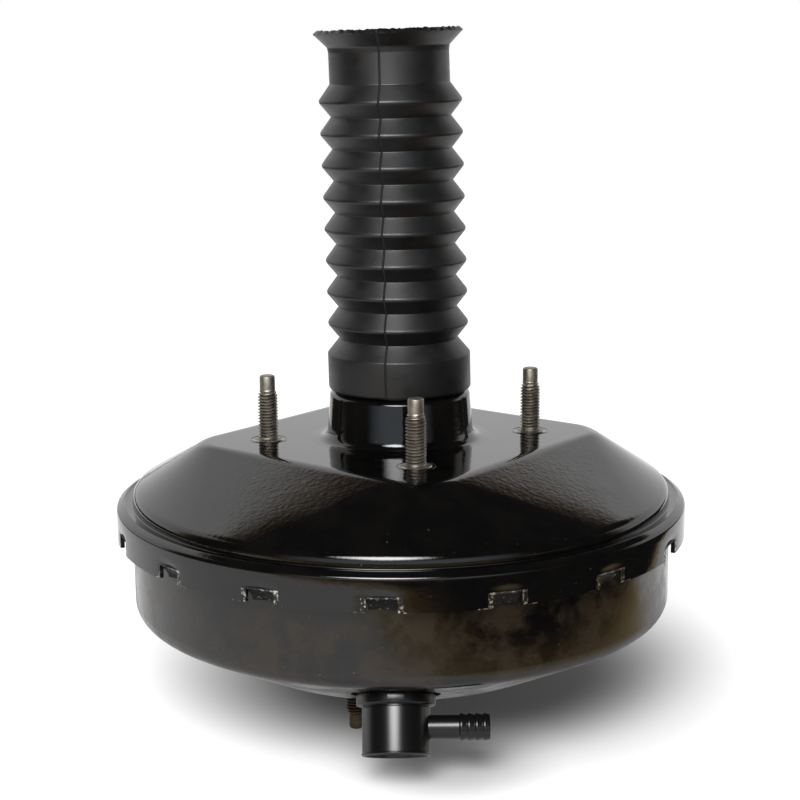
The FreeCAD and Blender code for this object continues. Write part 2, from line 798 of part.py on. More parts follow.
# Upper half of the check valve: flange, seat and the snout through the grommet.
def check_valve_cap():
    low = valve_flange_low
    high = low + valve_flange_tall
    end = -snout_long
    catch_z = end + snout_catch_long
    bevel = valve_flange_bevel
    return at_valve(turned([(snout_bore_r, end), (snout_r - 1.0, end), (snout_r + snout_catch, catch_z),
                            (snout_r, catch_z), (snout_r, low), (valve_flange_r - bevel, low),
                            (valve_flange_r, low + bevel), (valve_flange_r, high - bevel),
                            (valve_flange_r - bevel, high), (snout_r, high), (snout_bore_r, high - 0.8)]))


# Turns a solid that is drawn along +Z so that it points sideways out of the check valve's cup.
def at_barb(shape):
    copy = shape.copy()
    copy.Placement = FreeCAD.Placement(V(0, 0, barb_height), FreeCAD.Rotation(V(0, 1, 0), 90))
    return copy


# Lower half: cup with the hose barb on its side and a guide for the disc's stem.
def check_valve_housing():
    low = valve_flange_low + valve_flange_tall
    floor = valve_cup_end - valve_cup_wall
    inner = valve_cup_r - valve_cup_wall
    cup = turned([(inner, low), (valve_cup_r, low), (valve_cup_r, valve_cup_end - valve_cup_bevel),
                  (valve_cup_r - valve_cup_bevel, valve_cup_end), (0, valve_cup_end), (0, floor),
                  (inner, floor)])
    guide = ring(guide_r, disc_stem_r + running_clearance, floor - guide_long, floor + seat_gap)
    step = (barb_end - barb_start) / barb_count
    outline = [(0, inner + 0.6), (barb_r, inner + 0.6), (barb_r, barb_start)]
    for i in range(barb_count):
        outline.append((barb_crest_r, barb_start + step * i + 0.2))
        outline.append((barb_r + 0.05, barb_start + step * (i + 1)))
    outline.append((0, barb_end))
    spigot = at_barb(turned(outline))
    passage = at_barb(disc(barb_bore_r, inner - cut_past, barb_end + cut_past))
    return at_valve(fuse_all([cup, guide, spigot]).cut(passage))


def check_valve_disc():
    seat = valve_flange_low + valve_flange_tall + seat_gap
    back = seat + disc_wall
    end = back + disc_stem_long
    return at_valve(turned([(0, seat), (disc_r, seat), (disc_r, seat + 1.2), (disc_r - 2.0, back),
                            (disc_stem_r, back), (disc_stem_r, end), (0, end)]))


def check_valve_spring():
    reach = disc_wire_r + coil_gap
    low = valve_flange_low + valve_flange_tall + seat_gap + disc_wall + reach
    high = valve_cup_end - valve_cup_wall - reach
    return at_valve(coil(disc_coil_r, disc_wire_r, low, high, 4))


makers = [rear_shell, front_shell, rear_studs, front_studs, rear_stud_plate, front_stud_plate,
          neck_bush, neck_seal, neck_seal_retainer, check_valve_grommet,
          boot_collar, boot_bellows, boot_top,
          diaphragm, diaphragm_plate, diaphragm_clip, valve_body, stop_key, reaction_disc,
          output_rod, output_rod_screw, rod_retainer, return_spring,
          poppet, poppet_retainer, poppet_spring, air_filter, filter_cap,
          valve_plunger, input_rod, lock_nut, rod_spring, rod_spring_cup,
          check_valve_cap, check_valve_housing, check_valve_disc, check_valve_spring]

os.makedirs("parts", exist_ok=True)
for make in makers:
    shape = make()
    name = make.__name__
    print(name, "solids", len(shape.Solids), "valid", shape.isValid(), "volume", round(shape.Volume, 1))
    shape.exportStep("parts/" + name + ".step")
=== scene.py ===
import bpy
import json
import math
from mathutils import Matrix, Vector


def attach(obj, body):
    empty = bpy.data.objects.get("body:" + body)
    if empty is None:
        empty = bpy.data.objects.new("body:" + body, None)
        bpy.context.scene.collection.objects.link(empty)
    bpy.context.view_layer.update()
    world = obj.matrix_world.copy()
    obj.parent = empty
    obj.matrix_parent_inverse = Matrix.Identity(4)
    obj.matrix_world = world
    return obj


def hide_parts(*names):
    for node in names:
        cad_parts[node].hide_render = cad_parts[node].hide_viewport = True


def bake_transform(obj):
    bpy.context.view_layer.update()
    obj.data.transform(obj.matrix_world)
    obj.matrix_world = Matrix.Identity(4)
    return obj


# Brake booster, dressed for a studio picture. Sizes in the dictionaries are in millimetres.
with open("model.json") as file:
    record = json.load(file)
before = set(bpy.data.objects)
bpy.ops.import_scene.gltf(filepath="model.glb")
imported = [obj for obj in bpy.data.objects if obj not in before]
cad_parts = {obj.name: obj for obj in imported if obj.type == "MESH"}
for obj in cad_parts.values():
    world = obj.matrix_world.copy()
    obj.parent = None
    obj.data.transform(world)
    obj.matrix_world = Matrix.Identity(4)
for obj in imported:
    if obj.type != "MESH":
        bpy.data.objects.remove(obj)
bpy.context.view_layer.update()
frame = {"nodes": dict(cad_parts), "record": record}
mm = 0.001
print("frame loaded")


def linearFromHex(code):
    channels = [int(code[i:i + 2], 16) / 255 for i in (1, 3, 5)]
    return [c / 12.92 if c <= 0.04045 else ((c + 0.055) / 1.055) ** 2.4 for c in channels] + [1.0]


def addNode(tree, kind, settings=None, values=None, links=None):
    node = tree.nodes.new(kind)
    for name, value in (settings or {}).items():
        setattr(node, name, value)
    for name, value in (values or {}).items():
        node.inputs[name].default_value = value
    for name, source in (links or {}).items():
        tree.links.new(source, node.inputs[name])
    return node


def rangeNode(tree, source, low, high, start=0.0, end=1.0, kind="SMOOTHSTEP"):
    return addNode(tree, "ShaderNodeMapRange", settings={"interpolation_type": kind},
                   values={"From Min": low, "From Max": high, "To Min": start, "To Max": end},
                   links={"Value": source}).outputs["Result"]


def mathNode(tree, operation, first, second):
    return addNode(tree, "ShaderNodeMath", settings={"operation": operation},
                   links={0: first, 1: second}).outputs["Value"]


# How far a place lies along a direction.
def dotNode(tree, place, direction):
    return addNode(tree, "ShaderNodeVectorMath", settings={"operation": "DOT_PRODUCT"},
                   values={1: direction}, links={0: place}).outputs["Value"]


def newMaterial(name):
    material = bpy.data.materials.new(name)
    material.use_nodes = True
    material.node_tree.nodes.clear()
    return material, material.node_tree


def finishMaterial(tree, shader):
    addNode(tree, "ShaderNodeOutputMaterial", links={"Surface": shader.outputs[0]})


# Noise on Object coordinates; the grain is the size of one lump in millimetres.
def addNoise(tree, grain, detail=3.0, roughness=0.55, stretch=(1, 1, 1)):
    place = addNode(tree, "ShaderNodeTexCoord")
    size = addNode(tree, "ShaderNodeMapping", values={"Scale": stretch},
                   links={"Vector": place.outputs["Object"]})
    return addNode(tree, "ShaderNodeTexNoise",
                   values={"Scale": 1 / (grain * mm), "Detail": detail, "Roughness": roughness},
                   links={"Vector": size.outputs["Vector"]})


def addRamp(tree, source, stops):
    ramp = addNode(tree, "ShaderNodeValToRGB", links={"Fac": source})
    ramp.color_ramp.elements[0].position = stops[0][0]
    ramp.color_ramp.elements[0].color = stops[0][1]
    ramp.color_ramp.elements[1].position = stops[-1][0]
    ramp.color_ramp.elements[1].color = stops[-1][1]
    for position, colour in stops[1:-1]:
        ramp.color_ramp.elements.new(position).color = colour
    return ramp


def grey(level):
    return (level, level, level, 1)


# Stoving enamel on pressed steel: deep black and glossy, with a sprayed coat's orange peel and some dust.
# The front shell's coat is thinner: it dries duller, in brownish patches.
def blackEnamel(name, peelDepth, glossy, dull, patchColour):
    material, tree = newMaterial(name)
    peel = addNoise(tree, 2.0, detail=2.5)
    waves = addNoise(tree, 26, detail=1.0)
    patches = addNoise(tree, 15, detail=6.0, roughness=0.62)
    dust = addNoise(tree, 0.9, detail=1.0)
    lowBump = addNode(tree, "ShaderNodeBump", values={"Strength": 0.3, "Distance": 0.15 * mm},
                      links={"Height": waves.outputs["Fac"]})
    peelBump = addNode(tree, "ShaderNodeBump", values={"Strength": 0.6, "Distance": peelDepth * mm},
                       links={"Height": peel.outputs["Fac"], "Normal": lowBump.outputs["Normal"]})
    coat = addRamp(tree, patches.outputs["Fac"], [(0.42, grey(glossy)), (0.50, grey((glossy + dull) / 2)),
                                                  (0.57, grey(dull))])
    tint = addRamp(tree, patches.outputs["Fac"], [(0.42, linearFromHex("#060606")),
                                                  (0.58, linearFromHex(patchColour))])
    speck = addRamp(tree, dust.outputs["Fac"], [(0.795, grey(0)), (0.83, grey(1))])
    colour = addNode(tree, "ShaderNodeMixRGB", values={"Color2": linearFromHex("#8d877c")},
                     links={"Fac": speck.outputs["Color"], "Color1": tint.outputs["Color"]})
    shader = addNode(tree, "ShaderNodeBsdfPrincipled", values={"IOR": 1.52},
                     links={"Base Color": colour.outputs["Color"], "Roughness": coat.outputs["Color"],
                            "Normal": peelBump.outputs["Normal"]})
    finishMaterial(tree, shader)
    return material


# Natural rubber with carbon black, moulded: satin, finely grained, dusty; the mould's joint left a dark line.
def bootRubber():
    material, tree = newMaterial("mouldedBootRubber")
    place = addNode(tree, "ShaderNodeTexCoord").outputs["Object"]
    grain = addNoise(tree, 0.7, detail=3.0)
    cloud = addNoise(tree, 7, detail=5.0, roughness=0.65, stretch=(1, 1, 1.8))
    dust = addNoise(tree, 1.0, detail=2.0)
    across = dotNode(tree, place, (0.9844, -0.1757, 0.01741))
    off = addNode(tree, "ShaderNodeMath", settings={"operation": "ABSOLUTE"},
                  links={0: across}).outputs["Value"]
    joint = rangeNode(tree, off, 0.1 * mm, 0.45 * mm, 1.0, 0.0, "LINEAR")
    bump = addNode(tree, "ShaderNodeBump", values={"Strength": 0.5, "Distance": 0.07 * mm},
                   links={"Height": grain.outputs["Fac"]})
    groove = addNode(tree, "ShaderNodeBump", settings={"invert": True},
                     values={"Strength": 1.0, "Distance": 0.3 * mm},
                     links={"Height": joint, "Normal": bump.outputs["Normal"]})
    satin = rangeNode(tree, cloud.outputs["Fac"], 0.3, 0.7, 0.38, 0.48, "LINEAR")
    dull = addNode(tree, "ShaderNodeMath", settings={"operation": "MULTIPLY_ADD", "use_clamp": True},
                   values={1: 0.5}, links={0: joint, 2: satin}).outputs["Value"]
    tint = addRamp(tree, cloud.outputs["Fac"], [(0.3, linearFromHex("#070707")),
                                                (0.72, linearFromHex("#0e0f12"))])
    speck = addRamp(tree, dust.outputs["Fac"], [(0.745, grey(0)), (0.79, grey(0.8))])
    colour = addNode(tree, "ShaderNodeMixRGB", values={"Color2": linearFromHex("#7d7a72")},
                     links={"Fac": speck.outputs["Color"], "Color1": tint.outputs["Color"]})
    shader = addNode(tree, "ShaderNodeBsdfPrincipled", values={"IOR": 1.6},
                     links={"Base Color": colour.outputs["Color"], "Roughness": dull,
                            "Normal": groove.outputs["Normal"]})
    finishMaterial(tree, shader)
    return material


# Rubber, nylon or phenolic as moulded, or pressed felt: even, with a fine grain.
def evenGrain(name, colour, roughness, grainSize=0.4):
    material, tree = newMaterial(name)
    grain = addNoise(tree, grainSize)
    bump = addNode(tree, "ShaderNodeBump", values={"Strength": 0.25, "Distance": 0.03 * mm},
                   links={"Height": grain.outputs["Fac"]})
    dark = [c * 0.75 for c in linearFromHex(colour)[:3]] + [1.0]
    tint = addRamp(tree, grain.outputs["Fac"], [(0.3, dark), (0.7, linearFromHex(colour))])
    shader = addNode(tree, "ShaderNodeBsdfPrincipled", values={"Roughness": roughness, "IOR": 1.5},
                     links={"Base Color": tint.outputs["Color"], "Normal": bump.outputs["Normal"]})
    finishMaterial(tree, shader)
    return material


# Plated, phosphated or bare steel: a metal with a little mottling in its colour and its shine.
def steel(name, dark, light, roughness, mottle=2.5, grainDepth=0.02):
    material, tree = newMaterial(name)
    spots = addNoise(tree, mottle, detail=5.0, roughness=0.7)
    fine = addNoise(tree, 0.25, detail=2.0)
    bump = addNode(tree, "ShaderNodeBump", values={"Strength": 0.4, "Distance": grainDepth * mm},
                   links={"Height": fine.outputs["Fac"]})
    tint = addRamp(tree, spots.outputs["Fac"], [(0.32, linearFromHex(dark)), (0.68, linearFromHex(light))])
    dull = rangeNode(tree, spots.outputs["Fac"], 0.3, 0.7, roughness * 0.85, roughness * 1.15, "LINEAR")
    shader = addNode(tree, "ShaderNodeBsdfPrincipled", values={"Metallic": 1.0},
                     links={"Base Color": tint.outputs["Color"], "Roughness": dull,
                            "Normal": bump.outputs["Normal"]})
    finishMaterial(tree, shader)
    return material


# Enamelled steel that a tool has cut or dented: black coat, with bright steel where it chipped off.
def chippedEnamel(name, coatLeft, roughness, gloss):
    material, tree = newMaterial(name)
    chips = addNoise(tree, 1.3, detail=5.0, roughness=0.72)
    bare = addRamp(tree, chips.outputs["Fac"], [(coatLeft, grey(0)), (coatLeft + 0.03, grey(1))])
    tint = addRamp(tree, chips.outputs["Fac"], [(coatLeft, linearFromHex("#0a0908")),
                                                (coatLeft + 0.03, linearFromHex("#e3dfd4"))])
    bump = addNode(tree, "ShaderNodeBump", values={"Strength": 0.8, "Distance": 0.25 * mm},
                   links={"Height": chips.outputs["Fac"]})
    shader = addNode(tree, "ShaderNodeBsdfPrincipled",
                     values={"Roughness": roughness, "Specular IOR Level": gloss},
                     links={"Base Color": tint.outputs["Color"], "Metallic": bare.outputs["Color"],
                            "Normal": bump.outputs["Normal"]})
    finishMaterial(tree, shader)
    return material


materials = {
    "shell_enamel": blackEnamel("blackStovingEnamel", 0.055, 0.05, 0.09, "#0b0a09"),
    "boot_rubber": bootRubber(),
    "black_rubber": evenGrain("blackSealRubber", "#1a1a1b", 0.6),
    "black_nylon": evenGrain("glassFilledBlackNylon", "#0f0f10", 0.26, grainSize=0.6),
    "brown_phenolic": evenGrain("mouldedBrownPhenolic", "#6a4a37", 0.45, grainSize=0.8),
    "filter_felt": evenGrain("paleWoolFelt", "#c7c2b4", 0.95, grainSize=0.6),
    "stud_phosphate": steel("phosphatedStudSteel", "#857f75", "#b3aca0", 0.5),
    "plate_zinc": steel("zincPlatedSteel", "#a9a68c", "#d2cdb8", 0.28),
    "spring_steel": steel("oiledSpringSteel", "#6a6662", "#97928c", 0.3),
}
materials["front_shell_enamel"] = blackEnamel("thinBlackEnamel", 0.06, 0.12, 0.30, "#241d15")
materials["front_stud"] = steel("bronzePhosphatedStudSteel", "#4a3c2c", "#6e5f4d", 0.48)
# Painted shade for the studs' thread roots: a darker steel in the grooves.
materials["thread_root"] = steel("shadedThreadRootSteel", "#1f1c19", "#35302b", 0.6)
materials["worn_collar"] = steel("bareCollarSteel", "#a8a49b", "#e6e3dc", 0.3)
materials["sheared_edge"] = chippedEnamel("shearedEnamelledEdge", 0.545, 0.35, 0.5)
# The tabs' coat is dull and reflects little, so they stay dark: painted shade for their pockets. Its bright
# chips are real wear.
materials["tab_chips"] = chippedEnamel("dullShadedTabEnamel", 0.63, 0.55, 0.2)
print("materials made")

slotOf = {row["node"]: row["material_slot"] for row in frame["record"]["subparts"]}
for name, node in frame["nodes"].items():
    node.data.materials.clear()
    node.data.materials.append(materials[slotOf[name]])
frame["nodes"]["front_shell"].data.materials[0] = materials["front_shell_enamel"]


def clamp(value):
    return min(max(value, 0), 1)


def deselectAll():
    if bpy.context.object and bpy.context.object.mode != "OBJECT":
        bpy.ops.object.mode_set(mode="OBJECT")
    bpy.ops.object.select_all(action="DESELECT")


# Section of (radius, height) or (radius, height, bend) corners, each bend drawn as short steps.
def bentSection(corners, steps=6):
    points = []
    for i, corner in enumerate(corners):
        here = Vector(corner[:2])
        bend = corner[2] if len(corner) > 2 else 0
        if bend <= 0 or i in (0, len(corners) - 1):
            points.append(here)
            continue
        into = (here - Vector(corners[i - 1][:2])).normalized()
        out = (Vector(corners[i + 1][:2]) - here).normalized()
        turn = into.angle(out)
        reach = bend * math.tan(turn / 2)
        start = here - into * reach
        side = Vector((-into.y, into.x))
        if side.dot(out) < 0:
            side = -side
        middle = start + side * bend
        for k in range(steps + 1):
            angle = turn * k / steps
            points.append(middle - side * bend * math.cos(angle) + into * bend * math.sin(angle))
    return points


# Turned piece about the Z axis: one point is drawn out along the section, then spun round.
def spinSection(name, section, steps):
    deselectAll()
    bpy.ops.mesh.primitive_plane_add(size=0.001)
    piece = bpy.context.object
    piece.name = name
    bpy.ops.object.mode_set(mode="EDIT")
    bpy.ops.mesh.select_mode(type="VERT")
    bpy.ops.mesh.select_all(action="SELECT")
    bpy.ops.mesh.merge(type="CENTER")
    bpy.ops.transform.translate(value=(section[0][0] * mm, 0, section[0][1] * mm))
    for a, b in zip(section, section[1:]):
        move = ((b[0] - a[0]) * mm, 0, (b[1] - a[1]) * mm)
        bpy.ops.mesh.extrude_region_move(TRANSFORM_OT_translate={"value": move})
    bpy.ops.mesh.select_all(action="SELECT")
    bpy.ops.mesh.spin(steps=steps, angle=math.tau, center=(0, 0, 0), axis=(0, 0, 1))
    bpy.ops.mesh.select_all(action="SELECT")
    bpy.ops.mesh.remove_doubles(threshold=0.000002)
    bpy.ops.mesh.normals_make_consistent(inside=False)
    bpy.ops.object.mode_set(mode="OBJECT")
    return piece


# An open skin's faces can all point inwards: they are turned by its widest point.
def faceOutwards(piece):
    widest = max(piece.data.vertices, key=lambda vertex: vertex.co.xy.length)
    if widest.normal.xy.dot(widest.co.xy) < 0:
        deselectAll()
        bpy.context.view_layer.objects.active = piece
        bpy.ops.object.mode_set(mode="EDIT")
        bpy.ops.mesh.select_all(action="SELECT")
        bpy.ops.mesh.flip_normals()
        bpy.ops.object.mode_set(mode="OBJECT")


def addWall(piece, thickness, edgeSlot=0):
    faceOutwards(piece)
    solid = piece.modifiers.new("wall", "SOLIDIFY")
    solid.thickness = thickness * mm
    solid.offset = -1
    solid.material_offset_rim = edgeSlot
    applyModifiers(piece)


def smooth(piece, degrees=40):
    deselectAll()
    piece.select_set(True)
    bpy.context.view_layer.objects.active = piece
    bpy.ops.object.shade_smooth_by_angle(angle=math.radians(degrees))


def applyModifiers(piece):
    deselectAll()
    piece.select_set(True)
    bpy.context.view_layer.objects.active = piece
    for modifier in list(piece.modifiers):
        bpy.ops.object.modifier_apply(modifier=modifier.name)


def placePiece(piece, matrix):
    piece.data.transform(matrix)
    piece.data.update()


# The rubber boot: one moulding from the lip down to the collar on the shell's neck.
boot = {
    "lipRadius": 28.9, "lipTop": 159.3, "lipFoot": 154.0, "cuffRadius": 23.4, "cuffLow": 140.0,
    "ridgeRadius": 28.2, "valleyRadius": 23.4, "firstValley": 40.4, "pitch": 12.42, "folds": 8,
    "collarRadius": 28.4, "shoulder": 34.4, "collarLow": 20.0, "mouthRadius": 25.9,
    "ridgeBend": 1.5, "wall": 1.9, "lean": -3.5, "leanFoot": 20.0, "tilt": 0.026, "steps": 192,
    "rag": [(11, 0.6, 0.14), (41, 0.0, 0.16), (67, 1.3, 0.14)],
}


# The boot leans and its mouth tilts, more and more with height, and the lip's cut edge is ragged.
def leanBoot(piece):
    b = boot
    for vertex in piece.data.vertices:
        height = vertex.co.z / mm
        share = clamp((height - b["leanFoot"]) / (b["lipTop"] - b["leanFoot"]))
        edge = clamp((height - b["lipTop"] + 0.5) / 0.5)
        angle = math.atan2(vertex.co.y, vertex.co.x)
        rag = sum(math.sin(angle * waves + start) * size for waves, start, size in b["rag"])
        vertex.co.z += vertex.co.x * b["tilt"] * share ** 3 + edge * rag * mm
        vertex.co.x += b["lean"] * mm * share ** 1.2


def makeBoot():
    b = boot
    corners = [(b["lipRadius"], b["lipTop"]), (b["lipRadius"] - 0.5, b["lipTop"] - 0.6, 0.3),
               (b["cuffRadius"] + 0.3, b["lipFoot"], 1.6), (b["cuffRadius"], b["lipFoot"] - 2.0, 1.0),
               (b["cuffRadius"], b["cuffLow"], 0.7)]
    for i in reversed(range(b["folds"])):
        valley = b["firstValley"] + b["pitch"] * i
        corners.append((b["ridgeRadius"], valley + b["pitch"] / 2 - 0.2, b["ridgeBend"]))
        corners.append((b["valleyRadius"], valley, 0.4))
    corners += [(b["collarRadius"], b["shoulder"], 1.0), (b["collarRadius"], b["collarLow"], 1.2),
                (b["mouthRadius"] + 0.3, b["collarLow"]), (b["mouthRadius"], b["collarLow"] + 1.5)]
    piece = spinSection("rubberBoot", bentSection(corners, 5), b["steps"])
    addWall(piece, b["wall"])
    leanBoot(piece)
    piece.data.materials.append(materials["boot_rubber"])
    smooth(piece, 50)
    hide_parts("boot_collar", "boot_bellows", "boot_top")
    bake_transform(piece)


makeBoot()
print("boot made")

# Studs with rolled threads: the thread's rows follow the helix, so that its crests stay sharp.
# The rear ones stand in a square of 75 mm, turned a little, and the front ones 80 mm apart.
stud = {
    "crest": 3.97, "depth": 0.74, "pitch": 1.25, "runIn": 2.8, "rows": 6, "steps": 40,
    "share": [0.0, 0.0, 0.6, 1.0, 1.0, 0.6], "collarRadius": 6.0, "collarTall": 0.45, "rubbedFrom": 5.4,
    "rootFrom": 1.2, "rootInner": 2.6, "rootOuter": 3.42, "rootSteep": 0.45, "cleanBelowDog": 2.4,
    "markRadius": 7.3, "markThick": 0.13,
    "rear": {"tall": 26.1, "dogRadius": 3.05, "dogTall": 5.4, "ringRadius": 75 / math.sqrt(2), "angle": 6.3,
             "foot": 0.0},
    "front": {"tall": 20.9, "dogRadius": 2.8, "dogTall": 5.4, "ringRadius": 40, "angle": -117.3,
              "foot": -89.5},
}


# A grid whose rows are given as lists of points in millimetres; its first and last columns meet.
def wrapGrid(name, rows):
    steps = len(rows[0]) - 1
    deselectAll()
    bpy.ops.mesh.primitive_grid_add(x_subdivisions=len(rows) - 1, y_subdivisions=steps, size=1)
    piece = bpy.context.object
    piece.name = name
    for vertex in piece.data.vertices:
        row = round((vertex.co.x + 0.5) * (len(rows) - 1))
        column = round((vertex.co.y + 0.5) * steps)
        vertex.co = rows[row][column] * mm
    mendMesh(piece)
    faceOutwards(piece)
    return piece


def around(radius, degrees, height=0.0):
    angle = math.radians(degrees)
    return Vector((radius * math.cos(angle), radius * math.sin(angle), height))


def levelRow(radius, height, steps, first=0.0):
    return [around(radius, first + 360 * column / steps, height) for column in range(steps + 1)]


def mendMesh(piece):
    deselectAll()
    piece.select_set(True)
    bpy.context.view_layer.objects.active = piece
    bpy.ops.object.mode_set(mode="EDIT")
    bpy.ops.mesh.select_all(action="SELECT")
    bpy.ops.mesh.remove_doubles(threshold=0.000002)
    bpy.ops.mesh.normals_make_consistent(inside=False)
    bpy.ops.object.mode_set(mode="OBJECT")


def makeStud(name, kind):
    s = stud[kind]
    steps, rowsInTurn, pitch = stud["steps"], stud["rows"], stud["pitch"]
    low = stud["collarTall"] + 0.3
    high = s["tall"] - s["dogTall"]
    below = [(0, -0.6), (4.0, -0.6), (4.0, 0), (stud["collarRadius"] - 0.1, 0), (stud["collarRadius"], 0.12),
             (stud["collarRadius"] - 0.25, stud["collarTall"] - 0.1), (4.6, stud["collarTall"]), (3.6, low)]
    above = [(s["dogRadius"], high + 0.2), (s["dogRadius"], s["tall"] - 0.7),
             (s["dogRadius"] - 0.15, s["tall"] - 0.25), (s["dogRadius"] - 0.5, s["tall"]), (0, s["tall"])]
    rows = [levelRow(radius, height, steps) for radius, height in below]
    for row in range(-rowsInTurn, int((high - low) / pitch * rowsInTurn) + 1):
        helix = []
        for column in range(steps + 1):
            height = low + (row / rowsInTurn + column / steps) * pitch
            crest = s["dogRadius"] + (stud["crest"] - s["dogRadius"]) * clamp((high - height) / stud["runIn"])
            depth = stud["depth"] * clamp((height - low) / 0.6) * clamp((high - height) / 1.6)
            radius = crest - depth * stud["share"][row % rowsInTurn]
            helix.append(around(radius, 360 * column / steps, min(max(height, low), high)))
        rows.append(helix)
    rows += [levelRow(radius, height, steps) for radius, height in above]
    piece = wrapGrid(name, rows)
    smooth(piece, 30)
    return piece


# Crests stay pale, the thread's roots are painted darker as shade, and the collar's rim is rubbed bright.
def finishStud(piece, base, matrix):
    for slot in (base, "thread_root", "worn_collar"):
        piece.data.materials.append(materials[slot])
    rootsEnd = piece.dimensions.z / mm - stud["rear"]["dogTall"] - stud["cleanBelowDog"]
    for face in piece.data.polygons:
        radius = face.center.xy.length / mm
        height = face.center.z / mm
        inRoots = stud["rootFrom"] < height < rootsEnd and stud["rootInner"] < radius < stud["rootOuter"]
        if 0 < height < stud["collarTall"] + 0.02 and radius > stud["rubbedFrom"]:
            face.material_index = 2
        elif inRoots and abs(face.normal.z) < stud["rootSteep"]:
            face.material_index = 1
    placePiece(piece, matrix)
    node = "rear_studs" if base == "stud_phosphate" else "front_studs"
    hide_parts(node)
    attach(piece, "housing")


def makeStuds():
    rear, front = stud["rear"], stud["front"]
    for i in range(4):
        spot = around(rear["ringRadius"], rear["angle"] + 90 * i, rear["foot"]) * mm
        finishStud(makeStud("rearStud" + str(i + 1), "rear"), "stud_phosphate",
                   Matrix.Translation(spot) @ Matrix.Rotation(0.9 * i, 4, "Z"))
    for i in range(2):
        spot = around(front["ringRadius"], front["angle"] + 180 * i, front["foot"]) * mm
        finishStud(makeStud("frontStud" + str(i + 1), "front"), "front_stud",
                   Matrix.Translation(spot) @ Matrix.Rotation(math.pi, 4, "X"))


# The press tool left a thin ring in the plateau's enamel round each stud.
def makePressMarks():
    deselectAll()
    bpy.ops.mesh.primitive_torus_add(major_radius=stud["markRadius"] * mm, major_segments=64,
                                     minor_radius=stud["markThick"] * mm, minor_segments=8)
    mark = bpy.context.object
    mark.name = "pressMarks"
    one = mark.data.copy()
    spot = around(stud["rear"]["ringRadius"], stud["rear"]["angle"], stud["rear"]["foot"]) * mm
    mark.data.transform(Matrix.Translation(spot))
    for i in (1, 2, 3):
        copy = bpy.data.objects.new("pressMark" + str(i), one.copy())
        bpy.context.collection.objects.link(copy)
        copy.data.transform(Matrix.Rotation(math.pi / 2 * i, 4, "Z") @ Matrix.Translation(spot))
        copy.select_set(True)
    bpy.context.view_layer.objects.active = mark
    mark.select_set(True)
    bpy.ops.object.join()
    mark.data.materials.append(materials["shell_enamel"])
    smooth(mark, 60)
    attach(mark, "housing")


makeStuds()
makePressMarks()
print("studs made")

# Rear shell: one pressed sheet, from the neck over the square plateau and its slopes to the crimped skirt.
rearShell = {
    "columns": 384, "wall": 1.6, "skirtRadius": 114.1, "sharpAngle": 33,
    "neck": [(20, 33), (25.6, 33, 2.4), (25.6, 20.0, 0.5), (28.0, 18.0, 1.5), (29.4, 0, 4.0), (37, 0)],
    "turn": 6.3, "half": 60.0, "corner": 14.0, "edgeBend": 12.0, "flatAngle": 7.0,
    "footRadius": 107.7, "footHeight": -19.1, "footBend": 2.7, "footEnd": (107.8, -22.9),
    "crown": [(107.8, -22.9), (107.9, -23.5, 0.4), (110.7, -23.4, 0.3), (111.4, -22.9, 0.3),
              (114.1, -24.4, 1.8), (114.1, -28.3)],
    "skirtRows": [-29.2, -30.0, -30.8, -31.4, -32.2, -33.2, -34.4, -35.6, -36.8, -37.1],
    "tabs": 16, "firstTab": -93.5, "tabHalf": 3, "tabTop": -31.4, "tabTall": 5.7, "tabPush": 3.6,
    "tabTaper": 0.09, "crease": 1.2, "dent": 0.6, "dentWide": 2.6, "dentAbove": 2.9, "chipsReach": 3,
    "chipsTop": -36.7,
}


# The plateau's edge and the slope below it, on the line from its square top to its round foot.
def slopePoints(angle):
    r = rearShell
    middle = 90 * round((angle - r["turn"] + 45) / 90) + r["turn"] - 45
    off = angle - middle
    straight = r["half"] - r["corner"]
    if abs(off) <= r["flatAngle"]:
        top = Vector((r["half"], straight * off / r["flatAngle"], 0))
        outward = Vector((1, 0, 0))
    else:
        side = math.copysign(1, off)
        outward = around(1, (off - side * r["flatAngle"]) / (45 - r["flatAngle"]) * 45)
        top = Vector((straight, side * straight, 0)) + outward * r["corner"]
    foot = around(r["footRadius"], off, r["footHeight"])
    down = (foot - top).normalized()
    drop = math.atan2(-down.z, down.xy.length)
    reach = r["edgeBend"] * math.tan(drop / 2)
    start, end = top - outward * reach, top + down * reach
    points = [start - outward]
    for t in (0, 0.17, 0.33, 0.5, 0.67, 0.83, 1):
        points.append(start * (1 - t) ** 2 + top * 2 * t * (1 - t) + end * t * t)
    last = foot - down * r["footBend"]
    points += [end + down] + [end.lerp(last, t) for t in (0.25, 0.5, 0.75)] + [last - down]
    steep = (around(r["footEnd"][0], off, r["footEnd"][1]) - foot).normalized()
    after = foot + steep * r["footBend"]
    for t in (0, 0.25, 0.5, 0.75, 1):
        points.append(last * (1 - t) ** 2 + foot * 2 * t * (1 - t) + after * t * t)
    turn = Matrix.Rotation(math.radians(middle), 3, "Z")
    return [turn @ point for point in points]


def columnOffset(point):
    r = rearShell
    pitch = 360 / r["tabs"]
    angle = math.degrees(math.atan2(point.y, point.x)) - r["firstTab"]
    return angle - pitch * round(angle / pitch)


